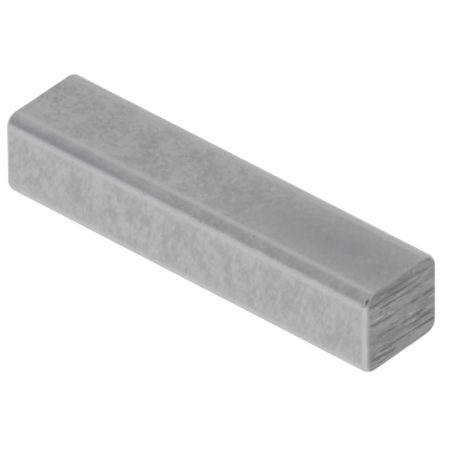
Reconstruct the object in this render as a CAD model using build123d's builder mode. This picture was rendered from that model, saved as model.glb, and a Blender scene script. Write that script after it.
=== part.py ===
from build123d import *
from math import cos, radians, sin
import os

# A parallel key with square ends: a length of bright drawn key steel, sawn off and
# tumbled. It sits half in the keyseat of a shaft and half in the keyway of a hub,
# and carries the torque on its two flanks.
#
# Millimetres. X runs along the key, Y from flank to flank, and Z up from the face that
# rests in the shaft. The origin is the centre of that face.

# Driving dimensions
key_length = 35.0  # over the two sawn ends
key_width = 8.0  # flank to flank, the size that fits the keyways
key_height = 7.0  # keyseat face to top face
edge_radius = 1.1  # the four long edges, rounded when the bar was drawn
end_radius = 0.6  # the rim of each sawn end, worn round by tumbling

# A dent that runs round the corner of the top, the front flank and the right-hand end
dent_length = 0.7  # round the long edge's curve
dent_depth = 0.13  # also half the dent's width
dent_turn = 30.0  # degrees from the long edge's own side towards the sawn end


def dent_plane():
    """The plane along and into the dent: x is its chord, y points out of the steel."""
    edge_side = Vector(0, -1, 1).normalized()
    key_axis = Vector(1, 0, 0)
    edge_centre = Vector(
        key_length / 2 - end_radius,
        edge_radius - key_width / 2,
        key_height - edge_radius,
    )
    outward = edge_side * cos(radians(dent_turn)) + key_axis * sin(radians(dent_turn))
    on_surface = edge_centre + edge_side * (edge_radius - end_radius) + outward * end_radius
    chord = Vector(0, 1, 1).normalized()
    return Plane(origin=on_surface, x_dir=chord, z_dir=chord.cross(outward))


with BuildPart() as key:
    # The drawn bar has one rounded section from end to end.
    with BuildSketch(Plane.YZ.offset(-key_length / 2)):
        with Locations((0, key_height / 2)):
            RectangleRounded(key_width, key_height, edge_radius)
    extrude(amount=key_length)

    # Tumbling rounds the whole rim of both sawn ends.
    sawn_ends = key.faces().filter_by(Axis.X)
    fillet(sawn_ends.edges(), end_radius)

    # The dent is the hollow of a thin spindle: an arc turned about its own chord.
    dent = dent_plane()
    with BuildSketch(dent):
        with BuildLine():
            chord_line = Line((-dent_length / 2, 0), (dent_length / 2, 0))
            ThreePointArc(chord_line @ 0, (0, -dent_depth), chord_line @ 1)
        make_face()
    revolve(axis=Axis(dent.origin, dent.x_dir), mode=Mode.SUBTRACT)

os.makedirs("parts", exist_ok=True)
key.part.label = "parallel_key"
export_step(key.part, "parts/parallel_key.step")
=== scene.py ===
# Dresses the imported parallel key: tumbled steel with sawn ends, on a pale studio floor.
# Everything is in metres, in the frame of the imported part.
import math

import bpy
import numpy as np
from mathutils import Matrix, Vector


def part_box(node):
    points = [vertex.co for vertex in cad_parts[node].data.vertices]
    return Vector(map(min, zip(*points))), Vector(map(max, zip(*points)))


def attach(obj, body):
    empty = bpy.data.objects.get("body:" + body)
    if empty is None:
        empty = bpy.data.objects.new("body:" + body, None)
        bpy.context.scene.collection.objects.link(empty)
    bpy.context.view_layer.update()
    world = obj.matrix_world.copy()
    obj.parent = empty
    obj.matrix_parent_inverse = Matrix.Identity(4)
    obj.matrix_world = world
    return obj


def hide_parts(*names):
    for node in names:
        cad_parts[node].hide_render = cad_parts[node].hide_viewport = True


mm = 0.001
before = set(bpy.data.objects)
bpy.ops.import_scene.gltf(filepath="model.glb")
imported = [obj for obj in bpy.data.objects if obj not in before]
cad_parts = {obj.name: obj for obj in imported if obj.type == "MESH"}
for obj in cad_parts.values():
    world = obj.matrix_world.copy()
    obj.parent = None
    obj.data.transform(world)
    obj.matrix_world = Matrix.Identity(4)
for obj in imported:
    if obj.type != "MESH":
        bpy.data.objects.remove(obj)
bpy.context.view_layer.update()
keyLow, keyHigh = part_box("parallel_key")
keyLength, keyWidth, keyHeight = keyHigh - keyLow
keyMiddle = (keyLow + keyHigh) / 2
print("frame loaded, key is", [round(v / mm, 2) for v in (keyLength, keyWidth, keyHeight)], "mm")


class Wire:
    # One output socket. Sums, differences and products of wires and numbers add Math nodes.
    def __init__(self, shader, socket):
        self.shader = shader
        self.socket = socket

    def math(self, operation, *values):
        return self.shader.node("ShaderNodeMath", {"operation": operation}, dict(enumerate(values)))

    def __add__(self, other):
        return self.math("ADD", self, other)

    def __radd__(self, other):
        return self.math("ADD", other, self)

    def __sub__(self, other):
        return self.math("SUBTRACT", self, other)

    def __rsub__(self, other):
        return self.math("SUBTRACT", other, self)

    def __mul__(self, other):
        return self.math("MULTIPLY", self, other)

    def __rmul__(self, other):
        return self.math("MULTIPLY", other, self)


class Shader:
    # A node tree, and the one way that its nodes are made.
    def __init__(self, tree):
        self.tree = tree
        tree.nodes.clear()

    def node(self, kind, settings=None, sockets=None, output=0):
        made = self.tree.nodes.new(kind)
        for name, value in (settings or {}).items():
            setattr(made, name, value)
        for name, value in (sockets or {}).items():
            self.plug(self.find(made.inputs, name), value)
        return Wire(self, self.find(made.outputs, output)) if made.outputs else made

    def find(self, sockets, name):
        # A socket goes by its place in the list, its identifier or its name.
        if isinstance(name, int):
            return sockets[name]
        return next((s for s in sockets if s.identifier == name), None) or sockets[name]

    def plug(self, socket, value):
        # A wire is linked, and anything else is set on the socket.
        if isinstance(value, Wire):
            self.tree.links.new(value.socket, socket)
        else:
            socket.default_value = value

    def step(self, value, low, high, toLow=0.0, toHigh=1.0):
        # Goes smoothly from toLow to toHigh while the value goes from low to high.
        sockets = {
            "Value": value,
            "From Min": low,
            "From Max": high,
            "To Min": toLow,
            "To Max": toHigh,
        }
        return self.node("ShaderNodeMapRange", {"interpolation_type": "SMOOTHSTEP"}, sockets)

    def noise(self, place, size, detail, rough):
        sockets = {"Vector": place, "Scale": 1 / size, "Detail": detail, "Roughness": rough}
        return self.node("ShaderNodeTexNoise", None, sockets)

    def lay(self, place, turn, longer):
        # Turns the pattern's X to lie along a direction, and draws it out that way.
        sockets = {"Vector": place, "Rotation": turn, "Scale": (longer, 1, 1)}
        return self.node("ShaderNodeMapping", {"vector_type": "TEXTURE"}, sockets)

    def patch(self, place, middle, reach):
        # One at the middle, fading to nothing at the reach along each axis.
        sockets = {0: place, 1: middle}
        away = self.node("ShaderNodeVectorMath", {"operation": "SUBTRACT"}, sockets)
        sockets = {0: away, 1: reach}
        away = self.node("ShaderNodeVectorMath", {"operation": "DIVIDE"}, sockets)
        far = self.node("ShaderNodeVectorMath", {"operation": "LENGTH"}, {0: away}, "Value")
        return self.step(far, 1.0, 0.0)

    def mixColor(self, factor, first, second):
        sockets = {"Factor_Float": factor, "A_Color": first, "B_Color": second}
        settings = {"data_type": "RGBA", "clamp_factor": True}
        return self.node("ShaderNodeMix", settings, sockets, "Result_Color")


keyShape = {
    "edgeRadius": 1.1 * mm,  # the four long edges
    "endRadius": 0.6 * mm,  # the rim of each sawn end
    "cornerSteps": (24, 44, 24, 24),  # columns round each long edge, the second holds the dent
    "wideSteps": 48,  # columns across the top, and the underside
    "tallSteps": 110,  # columns up a flank, close enough to hold the saw marks
    "bodyRows": 20,  # rows from the middle to one rim
    "rimRows": 20,  # rows round a rim
    "endRows": 64,  # rings from a rim to the middle of its end
    "dentLength": 0.8 * mm,  # round the edge's curve
    "dentWidth": 0.36 * mm,
    "dentDepth": 0.13 * mm,
    "dentTurn": 30.0,  # degrees, from the long edge's side towards the sawn end
    "levelWearSheen": 0.02 * mm,  # where the top's lines of real rubbing and painted sheen lie, in from the curve's ends
    "uprightWearSheen": 0.22 * mm,  # and the flanks'
    "wearSheenLine": 0.32 * mm,  # their half width
    "wearSheenHalo": 0.9 * mm,  # how far a fainter rubbing and painted sheen spreads over the flats
    "haloShare": 0.40,  # how strong it is beside the lines
    # Round a rim, the turn is a sine: nothing at the flats and one at the sawn face.
    "sawnStart": 0.40,  # the turn where saw marks set in on the level rims
    "sawnLater": 0.35,  # how much later they do on the upright ones
    "sawnFade": 0.25,  # and how much more turn it takes them to reach full depth
    "rimMiddle": 0.5,  # the turn where the rims are brightest, from rubbing and a painted highlight
    "rimSpread": 0.10,  # the square of how far that spreads
    "rimLevel": 0.15,  # how bright the level rims are made, by rubbing and a painted highlight
    "rimUpright": 1.05,  # and how much brighter the upright ones
}

sawMarks = {
    "seed": 11,
    "slope": -0.075,  # height that a mark gains across the end
    "slopeSpread": 0.03,  # how far that differs from mark to mark
    # Where the blade bit deeper or left a ridge, in mm: height at mid width, start, stop,
    # half width, and depth, which is below zero on a ridge.
    "bites": (
        (6.50, -3.3, 3.4, 0.11, 0.030),
        (6.24, -1.8, 3.6, 0.07, -0.014),
        (5.95, -3.8, 1.6, 0.10, 0.040),
        (5.64, -4.0, 1.2, 0.08, -0.026),
        (5.34, -2.8, 1.4, 0.12, 0.028),
        (5.44, 0.4, 2.9, 0.14, 0.024),
        (4.98, -3.2, -1.0, 0.18, 0.018),
        (4.54, -4.2, -0.9, 0.10, -0.032),
        (4.16, -3.6, -1.0, 0.14, 0.030),
        (4.24, 0.6, 4.4, 0.15, 0.030),
        (3.70, 1.1, 4.2, 0.09, -0.018),
        (3.28, 0.4, 1.5, 0.10, -0.026),
        (2.92, -2.9, -0.2, 0.12, 0.030),
        (2.90, -0.2, 2.7, 0.12, 0.036),
        (2.52, 0.2, 1.8, 0.10, -0.028),
        (2.34, 0.8, 4.2, 0.13, 0.024),
        (1.60, -2.7, 4.2, 0.14, 0.036),
        (1.80, 0.8, 4.0, 0.06, -0.018),
        (1.30, -4.2, -1.4, 0.08, -0.022),
        (1.00, -4.6, -0.6, 0.17, 0.034),
    ),
    "ragged": 0.40,  # how far a mark's depth comes and goes along it
    "raggedWave": (4, 9),  # least and most radians that this wave turns in half a mark
    "wander": 0.028,  # how far its line strays, in mm
    "wanderWave": (3, 7),  # least and most radians that this one turns
    "waveStart": (0, 6),  # where either wave starts, in radians
    "strip": (0.1, 0.9),  # where a fine mark lies in its own strip of the end, from and to
    # count, half length and half width, and depth, in mm
    "cuts": (110, (0.3, 1.6), (0.04, 0.10), (0.003, 0.018)),
    "burrs": (80, (0.2, 0.9), (0.04, 0.09), (-0.018, -0.003)),
    "fullMark": 0.032 * mm,  # depth that counts as fully dark in the cuts' painted shade
}


def sectionOutline(shape, width, height):
    # A rounded rectangle, walked once round. A corner is its centre plus the radius times
    # (cos, sin) of a quarter turn, and a flat is an even run between two corners. The worn
    # sheen beside the edges, partly real rubbing and partly painted highlight, goes by inward,
    # the distance past a curve's end, counted below zero on a flat. It is the larger of a bell
    # round the line of rubbing and a halo that fades away from the curve's end.
    radius = shape["edgeRadius"]
    flats = [shape["wideSteps"], shape["tallSteps"]] * 2
    signs = [(1, 1), (-1, 1), (-1, -1), (1, -1)]
    middles = [np.array([y * (width / 2 - radius), z * (height / 2 - radius)]) for y, z in signs]
    spots, normals, wearSheen = [], [], []
    for corner in range(4):
        turn = np.linspace(0, 1, shape["cornerSteps"][corner] + 1)
        angle = (turn + corner) * math.pi / 2
        normal = np.stack([np.cos(angle), np.sin(angle)], axis=1)
        arc = middles[corner] + radius * normal
        step = middles[(corner + 1) % 4] - middles[corner]
        share = np.linspace(0, 1, flats[corner] + 1)[1:-1]
        spots += [arc, arc[-1] + share[:, None] * step]
        normals += [normal, np.repeat(normal[-1:], len(share), axis=0)]
        onCurve = np.minimum(turn, 1 - turn) * radius * math.pi / 2
        onFlat = -np.minimum(share, 1 - share) * np.linalg.norm(step)
        for inward, faces in ((onCurve, normal), (onFlat, normals[-1])):
            level = np.abs(faces[:, 1]) > np.abs(faces[:, 0])
            line = np.where(level, shape["levelWearSheen"], shape["uprightWearSheen"])
            bell = np.exp(-(((inward - line) / shape["wearSheenLine"]) ** 2))
            halo = shape["haloShare"] * np.exp(-np.abs(inward) / shape["wearSheenHalo"])
            wearSheen.append(np.maximum(bell, halo))
    return np.concatenate(spots), np.concatenate(normals), np.concatenate(wearSheen)


def rowsAlong(shape, length):
    # Every row is the outline, drawn in by inset, shrunk about the middle, at one x. The body
    # keeps it as it is, the rim turns a quarter circle, and the end shrinks it. The body's
    # rows close up towards the rim, as one less the square of what is left. The lean is the
    # part of the surface's outward direction that runs along the key.
    rim = shape["endRadius"]
    left = np.linspace(1, 0, shape["bodyRows"] + 1)
    turn = np.linspace(0, math.pi / 2, shape["rimRows"] + 1)[1:]
    closing = np.linspace(1, 0, shape["endRows"] + 1)[1:-1]
    # x, inset, shrink and lean, for each stretch of rows
    body = ((length / 2 - rim) * (1 - left**2), 0, 1, 0)
    bend = (length / 2 - rim + rim * np.sin(turn), rim * (1 - np.cos(turn)), 1, np.sin(turn))
    face = (length / 2, rim, closing, 1)
    stretches = [np.stack(np.broadcast_arrays(*rows)) for rows in (body, bend, face)]
    half = np.concatenate(stretches, axis=1)
    mirrored = half[:, :0:-1] * np.array([[-1], [1], [1], [-1]])
    return np.concatenate([mirrored, half], axis=1)


def sawDepth(marks, across, up, side):
    # Each mark is a lens: exp(-(distance off its line / half width) squared), times one less
    # the fourth power of along, which runs from -1 to 1. A wave makes its depth come and go,
    # and another makes its line wander. The marks add up. The far end has the same bites
    # turned half round, and other fine marks.
    rng = np.random.default_rng(marks["seed"] + side)
    wide, tall = keyWidth / mm, keyHeight / mm
    lenses = []
    for height, start, stop, halfWidth, deep in marks["bites"]:
        middle, halfLength = (start + stop) / 2, (stop - start) / 2
        lenses.append((height - tall / 2, middle, halfLength, halfWidth, deep))
    for kind in ("cuts", "burrs"):
        count, lengths, widths, depths = marks[kind]
        strips = np.arange(count) + rng.uniform(*marks["strip"], count)
        heights = (strips / count - 0.5) * tall
        for height in heights:
            middle = rng.uniform(-0.5, 0.5) * wide
            sizes = [rng.uniform(*limits) for limits in (lengths, widths, depths)]
            lenses.append((height, middle, *sizes))
    turn = 1 if side else -1
    depth = np.zeros_like(across)
    for height, middle, halfLength, halfWidth, deep in lenses:
        along = (turn * across / mm - middle) / halfLength
        slope = marks["slope"] + rng.uniform(-1, 1) * marks["slopeSpread"]
        line = height + marks["slope"] * middle + slope * along * halfLength
        wave = along * rng.uniform(*marks["wanderWave"]) + rng.uniform(*marks["waveStart"])
        offLine = (turn * up / mm - (line + marks["wander"] * np.sin(wave))) / halfWidth
        wave = along * rng.uniform(*marks["raggedWave"]) + rng.uniform(*marks["waveStart"])
        uneven = 1 + marks["ragged"] * np.sin(wave)
        depth += deep * mm * np.exp(-(offLine**2)) * np.clip(1 - along**4, 0, 1) * uneven
    return depth


def dentShare(shape, spots):
    # The dent's share of its full depth is (1 - q) to the power 1.5, where q is the squared
    # distance from its middle, counted in half lengths along it and half widths across it.
    radius, rim = shape["edgeRadius"], shape["endRadius"]
    turn = math.radians(shape["dentTurn"])
    side = np.array([0, -1, 1]) / math.sqrt(2)
    outward = side * math.cos(turn) + np.array([math.sin(turn), 0, 0])
    chord = np.array([0, 1, 1]) / math.sqrt(2)
    edgeCentre = np.array([keyLength / 2 - rim, radius - keyWidth / 2, keyHeight - radius])
    away = spots - (edgeCentre + side * (radius - rim) + outward * rim)
    along = away @ chord / (shape["dentLength"] / 2)
    across = away @ np.cross(chord, outward) / (shape["dentWidth"] / 2)
    share = np.clip(1 - along**2 - across**2, 0, 1) ** 1.5
    return np.where(np.abs(away @ outward) < 2 * shape["dentDepth"], share, 0), outward


def makeMesh(name, spots, faces):
    # A smooth object from points, and from a list of each face's point numbers.
    mesh = bpy.data.meshes.new(name)
    mesh.from_pydata(spots.tolist(), [], [f.tolist() for f in faces])
    mesh.polygons.foreach_set("use_smooth", np.ones(len(mesh.polygons), bool))
    mesh.update()
    piece = bpy.data.objects.new(name, mesh)
    bpy.context.scene.collection.objects.link(piece)
    return piece


def addAttribute(piece, name, values):
    # One number at each point, which the material reads by this name.
    made = piece.data.attributes.new(name, "FLOAT", "POINT")
    made.data.foreach_set("value", values.astype(np.float32).ravel())


def buildKey(shape, marks):
    # The outline is carried along the rows: a point is shrink times (outline less inset times
    # its normal), at the row's x. Saw marks go in along the surface's outward direction.
    outline, normals, wearSheen = sectionOutline(shape, keyWidth, keyHeight)
    x, inset, shrink, lean = rowsAlong(shape, keyLength)
    rows, columns = len(x), len(outline)
    flat = shrink[:, None, None] * (outline[None] - inset[:, None, None] * normals[None])
    spots = np.empty((rows, columns, 3))
    spots[..., 0] = x[:, None]
    spots[..., 1:] = flat + [0, keyHeight / 2]
    outward = np.empty((rows, columns, 3))
    outward[..., 0] = lean[:, None]
    outward[..., 1:] = np.sqrt(1 - lean**2)[:, None, None] * normals[None]

    # The saw marks are cut into the ends and fade out round their rims, sooner on the upright
    # rims than on the level ones.
    sawnFrom = shape["sawnStart"] + shape["sawnLater"] * np.abs(normals[:, 0])
    sawn = np.clip((np.abs(lean)[:, None] - sawnFrom) / shape["sawnFade"], 0, 1)
    depth = np.zeros((rows, columns))
    for side, there in ((0, x < 0), (1, x > 0)):
        cut = flat[there]
        depth[there] = sawDepth(marks, cut[..., 0], cut[..., 1], side)
    depth *= sawn
    spots -= outward * depth[..., None]
    dented, dentWay = dentShare(shape, spots)
    spots -= shape["dentDepth"] * dented[..., None] * dentWay
    middles = (spots[0].mean(axis=0), spots[-1].mean(axis=0))

    # Each row joins the next, and a fan closes the middle of each end.
    index = np.arange(rows * columns).reshape(rows, columns)
    after = np.roll(index, -1, axis=1)
    quads = np.stack([index[:-1], after[:-1], after[1:], index[1:]], axis=-1).reshape(-1, 4)
    first, last = rows * columns, rows * columns + 1
    startFan = np.stack([np.full(columns, first), after[0], index[0]], axis=1)
    endFan = np.stack([np.full(columns, last), index[-1], after[-1]], axis=1)
    spots = np.concatenate([spots.reshape(-1, 3), middles])
    piece = makeMesh("key_steel_surface", spots, [*quads, *startFan, *endFan])

    # The rims are made bright too, partly by real rubbing and partly by a painted highlight,
    # in a bell about the middle of their turn, the upright ones more than the level ones.
    rimWearSheen = np.exp(-((np.abs(lean) - shape["rimMiddle"]) ** 2) / shape["rimSpread"])[:, None]
    uprightness = np.abs(normals[None, :, 0])
    rimWearSheen = rimWearSheen * (shape["rimLevel"] + shape["rimUpright"] * uprightness)
    onRim = ((inset > 0) & (shrink == 1))[:, None]
    rubbedSheen = np.maximum(wearSheen[None] * (1 - np.abs(lean[:, None])), np.where(onRim, rimWearSheen, 0))
    values = {"sawn": sawn, "mark": depth / marks["fullMark"], "dent": dented, "rubbedSheen": rubbedSheen}
    for name, grid in values.items():
        # The two end middles come last: fully sawn, and nothing else.
        atMiddles = np.full(2, 1.0 if name == "sawn" else 0.0)
        addAttribute(piece, name, np.concatenate([grid.ravel(), atMiddles]))
    return piece


steelLook = {
    "bright": (0.448, 0.448, 0.448, 1),  # tumbled faces
    "dull": (0.348, 0.348, 0.350, 1),
    "cloudSize": 1.9 * mm,
    "grainSize": 0.34 * mm,
    "toneShares": (0.42, 0.18, 0.40),  # how much clouds, grain and rubs count in the tone
    "toneSpan": (0.395, 0.605),  # their sum where it is all dull, and all bright
    "rubSize": 0.42 * mm,  # short rubs: their width, and how many times longer they are
    "rubLength": 3.2,
    "rubTurn": tuple(Vector((0.3, -0.35, 1)).to_track_quat("X", "Z").to_euler()),
    "glintSize": 0.40 * mm,  # painted glints: bright specks, which lie along the rubs
    "glintLength": 3.4,
    "glintSpan": (0.60, 0.78),
    "glintShare": 0.5,
    "glintColor": (0.54, 0.545, 0.535, 1),
    "patchMiddle": (13.0 * mm, 0.0 * mm, 7.0 * mm),  # a darker patch on the top
    "patchReach": (17.0 * mm, 5.4 * mm, 3.0 * mm),
    "patchShares": (0.7, 0.3),  # how much clouds and grain break it up
    "patchSpan": (0.34, 0.62, 0.35, 1.0),  # their sum, from and to, and its strength there
    "patchColor": (0.312, 0.308, 0.317, 1),
    "edgeBandMiddle": (-13.0 * mm, -3.85 * mm, 6.45 * mm),  # a darker band along the front top edge
    "edgeBandReach": (20.0 * mm, 0.75 * mm, 0.75 * mm),
    "edgeBandShare": 0.9,
    "edgeBandColor": (0.290, 0.295, 0.318, 1),
    "rubbedSheenShare": 0.85,  # lines of rubbing and painted sheen beside the rounded edges, and the upright rims
    "rubbedSheenColor": (0.500, 0.500, 0.495, 1),
    "pitSpan": (0.78, 0.88),
    "pitShare": 0.25,
    "pitColor": (0.10, 0.10, 0.105, 1),
    "dentDark": 0.9,  # how dark the dent is at its deepest
    "sawnBright": (0.305, 0.306, 0.298, 1),
    "sawnDull": (0.212, 0.214, 0.216, 1),
    "sawnGrain": 0.30 * mm,
    "sawnStretch": 0.20,  # how much closer the streaks' pattern is taken along the cut
    "sawnCloud": 1.3 * mm,  # broader light and dark bands, drawn out along the cut too
    "streakShares": (0.5, 0.5),  # how much the fine streaks and the bands count
    "streakSpan": (0.36, 0.62),
    "grooveShade": (0.150, 0.153, 0.166, 1),  # painted shade in the marks, which count 1 where fully dark
    "grooveSpan": (0.05, 0.95),
    "grooveShare": 0.9,
    "burrGlint": (0.420, 0.420, 0.405, 1),  # a painted glint on the ridges, which count below zero
    "burrSpan": (0.1, 1.0),
    "burrShare": 0.8,
    "rough": 0.32,
    "roughSpread": 0.10,  # how far the grain changes it
    "rubbedSmooth": 0.05,  # how far rubbing takes it down
    "sawnRough": 0.45,
    "reliefShares": (0.6, 0.4, 0.6),  # how much grain and rubs stand up, and pits go down
    "grainHeight": 0.006 * mm,  # how high the whole relief is
}


def makeSteel(look, marks):
    material = bpy.data.materials.new("tumbledSteel")
    material.use_nodes = True
    shader = Shader(material.node_tree)
    place = shader.node("ShaderNodeTexCoord", output="Object")
    x, y, z = (shader.node("ShaderNodeSeparateXYZ", None, {0: place}, axis) for axis in "XYZ")
    sawn, mark, dent, rubbedSheen = (
        shader.node("ShaderNodeAttribute", {"attribute_name": name}, output="Fac")
        for name in ("sawn", "mark", "dent", "rubbedSheen")
    )

    # Tumbling leaves soft clouds, a fine grain, short upright rubs and a few pits.
    cloud = shader.noise(place, look["cloudSize"], detail=3.0, rough=0.55)
    grain = shader.noise(place, look["grainSize"], detail=2.0, rough=0.55)
    rubs = shader.lay(place, look["rubTurn"], look["rubLength"])
    rubs = shader.noise(rubs, look["rubSize"], detail=3.0, rough=0.55)
    pits = shader.noise(place, look["grainSize"], detail=0.0, rough=0.5)
    pits = shader.step(pits, *look["pitSpan"])
    ofCloud, ofGrain, ofRubs = look["toneShares"]
    tone = cloud * ofCloud + grain * ofGrain + rubs * ofRubs
    tumbled = shader.mixColor(shader.step(tone, *look["toneSpan"]), look["dull"], look["bright"])
    # Painted glints: bright specks drawn out along the rubs.
    glintFlecks = shader.lay(place, look["rubTurn"], look["glintLength"])
    glintFlecks = shader.noise(glintFlecks, look["glintSize"], detail=2.0, rough=0.5)
    glintFlecks = shader.step(glintFlecks, *look["glintSpan"]) * look["glintShare"]
    tumbled = shader.mixColor(glintFlecks, tumbled, look["glintColor"])
    ofCloud, ofGrain = look["patchShares"]
    patch = shader.patch(place, look["patchMiddle"], look["patchReach"])
    patch = patch * shader.step(cloud * ofCloud + grain * ofGrain, *look["patchSpan"])
    tumbled = shader.mixColor(patch, tumbled, look["patchColor"])
    # A darker band along the front top edge.
    edgeBand = shader.patch(place, look["edgeBandMiddle"], look["edgeBandReach"])
    tumbled = shader.mixColor(edgeBand * look["edgeBandShare"], tumbled, look["edgeBandColor"])
    # Lines beside the edges and bright rims: partly real rubbing, partly a painted highlight.
    tumbled = shader.mixColor(rubbedSheen * look["rubbedSheenShare"], tumbled, look["rubbedSheenColor"])
    tumbled = shader.mixColor(pits * look["pitShare"], tumbled, look["pitColor"])

    # The saw leaves streaks along its cut. Its cuts get painted shade, and its ridges a painted
    # glint.
    along = {"X": x, "Y": y * look["sawnStretch"], "Z": z - y * marks["slope"]}
    along = shader.node("ShaderNodeCombineXYZ", None, along)
    ofGrain, ofCloud = look["streakShares"]
    streak = shader.noise(along, look["sawnGrain"], detail=2.0, rough=0.55) * ofGrain
    streak = streak + shader.noise(along, look["sawnCloud"], detail=1.0, rough=0.5) * ofCloud
    streak = shader.step(streak, *look["streakSpan"])
    # Painted shade in the saw cuts, darkest where they go deepest.
    grooveShade = shader.step(mark, *look["grooveSpan"]) * look["grooveShare"]
    # A painted glint on the saw's ridges.
    burrGlint = shader.step(0 - mark, *look["burrSpan"]) * look["burrShare"]
    sawnColor = shader.mixColor(streak, look["sawnDull"], look["sawnBright"])
    sawnColor = shader.mixColor(grooveShade, sawnColor, look["grooveShade"])
    sawnColor = shader.mixColor(burrGlint, sawnColor, look["burrGlint"])

    color = shader.mixColor(sawn, tumbled, sawnColor)
    color = shader.mixColor(dent * look["dentDark"], color, look["pitColor"])
    rough = look["rough"] + (grain - 0.5) * look["roughSpread"] - rubbedSheen * look["rubbedSmooth"]
    rough = rough + sawn * (look["sawnRough"] - look["rough"])
    ofGrain, ofRubs, ofPits = look["reliefShares"]
    height = grain * ofGrain + rubs * ofRubs - pits * ofPits
    sockets = {"Height": height, "Strength": 1.0, "Distance": look["grainHeight"]}
    bump = shader.node("ShaderNodeBump", None, sockets)
    sockets = {"Base Color": color, "Metallic": 1.0, "Roughness": rough, "Normal": bump}
    steel = shader.node("ShaderNodeBsdfPrincipled", None, sockets)
    shader.node("ShaderNodeOutputMaterial", None, {"Surface": steel})
    return material


steelKey = buildKey(keyShape, sawMarks)
steelKey.data.materials.append(makeSteel(steelLook, sawMarks))
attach(steelKey, "root")
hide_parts("parallel_key")
print("key surface made,", len(steelKey.data.polygons), "faces")


studio = {
    "floorSize": 8.0,  # metres
    "floorDrop": 0.02 * mm,  # keeps the floor clear of the key's underside
    "floorColor": (0.08, 0.08, 0.08, 1),
    "glowColor": (0.955, 1.0, 0.97, 1),  # the floor gives off some light of its own
    "floorGlow": 1.0,
    "ambient": 0.74,  # even white light from all round
    # name: round from +X and up from the floor in degrees, distance and side in metres, watts
    "softBoxes": {
        "backWall": (90, 28, 1.2, 1.6, 1.2),
        "leftWall": (172, 30, 1.2, 1.2, 0.6),
        "rightWall": (15, 28, 1.2, 1.4, 2.5),
        "frontLeftLow": (-128, 5, 1.0, 0.35, 0.2),
        "backLow": (110, 6, 1.0, 0.35, 0.25),
    },
}


def makeFloor(look):
    half = look["floorSize"] / 2
    corners = half * np.array([[-1, -1, 0], [1, -1, 0], [1, 1, 0], [-1, 1, 0]])
    corners = corners - [0, 0, look["floorDrop"]]
    floor = makeMesh("floor", corners, [np.arange(4)])
    material = bpy.data.materials.new("paleFloor")
    material.use_nodes = True
    shader = Shader(material.node_tree)
    paint = shader.node("ShaderNodeBsdfDiffuse", None, {"Color": look["floorColor"]})
    sockets = {"Color": look["glowColor"], "Strength": look["floorGlow"]}
    glow = shader.node("ShaderNodeEmission", None, sockets)
    both = shader.node("ShaderNodeAddShader", None, {0: paint, 1: glow})
    shader.node("ShaderNodeOutputMaterial", None, {"Surface": both})
    floor.data.materials.append(material)


def makeLight(look):
    world = bpy.data.worlds.new("studio")
    bpy.context.scene.world = world
    world.use_nodes = True
    shader = Shader(world.node_tree)
    sockets = {"Color": (1, 1, 1, 1), "Strength": look["ambient"]}
    sky = shader.node("ShaderNodeBackground", None, sockets)
    shader.node("ShaderNodeOutputWorld", None, {"Surface": sky})
    for name, (around, rise, distance, side, watts) in look["softBoxes"].items():
        # A box stands at its distance on a sphere round the key, and faces the key.
        around, rise = math.radians(around), math.radians(rise)
        level = Vector((math.cos(around), math.sin(around), 0))
        outward = level * math.cos(rise) + Vector((0, 0, math.sin(rise)))
        lamp = bpy.data.lights.new(name, "AREA")
        lamp.shape, lamp.size, lamp.energy = "SQUARE", side, watts
        box = bpy.data.objects.new(name, lamp)
        box.location = Vector(keyMiddle) + outward * distance
        box.rotation_euler = outward.to_track_quat("Z", "Y").to_euler()
        bpy.context.scene.collection.objects.link(box)


view = {
    "azimuth": 41.45,  # degrees round from the front, towards the sawn end
    "elevation": 36.58,  # degrees up from the floor
    "roll": -0.55,  # degrees
    "distance": 1.21,  # metres from its aim
    "frameWidth": 32.9 * mm,  # what the camera sees across, at the key
    "offset": (0.43 * mm, -0.29 * mm),  # its aim, right and up from the key's middle
    "sensorWidth": 36.0,  # in millimetres, as Blender gives a camera's lens
    "clip": (0.1, 20.0),  # metres
}


def makeCamera(look):
    turn, rise, roll = (math.radians(look[name]) for name in ("azimuth", "elevation", "roll"))
    flat = math.cos(rise)
    back = np.array([math.sin(turn) * flat, -math.cos(turn) * flat, math.sin(rise)])
    level = np.array([math.cos(turn), math.sin(turn), 0.0])
    upright = np.cross(back, level)
    right = math.cos(roll) * level + math.sin(roll) * upright
    up = math.cos(roll) * upright - math.sin(roll) * level
    aim = np.array(keyMiddle) + right * look["offset"][0] + up * look["offset"][1]
    place = aim + back * look["distance"]
    camera = bpy.data.objects.new("camera", bpy.data.cameras.new("camera"))
    matrix = np.eye(4)
    matrix[:3] = np.stack([right, up, back, place], axis=1)
    camera.matrix_world = Matrix(matrix.tolist())
    camera.data.sensor_width = look["sensorWidth"]
    camera.data.lens = look["sensorWidth"] * look["distance"] / look["frameWidth"]
    camera.data.clip_start, camera.data.clip_end = look["clip"]
    bpy.context.scene.collection.objects.link(camera)
    bpy.context.scene.camera = camera


makeFloor(studio)
makeLight(studio)
makeCamera(view)
bpy.context.scene.view_settings.view_transform = "Standard"
print("floor, light and camera set")
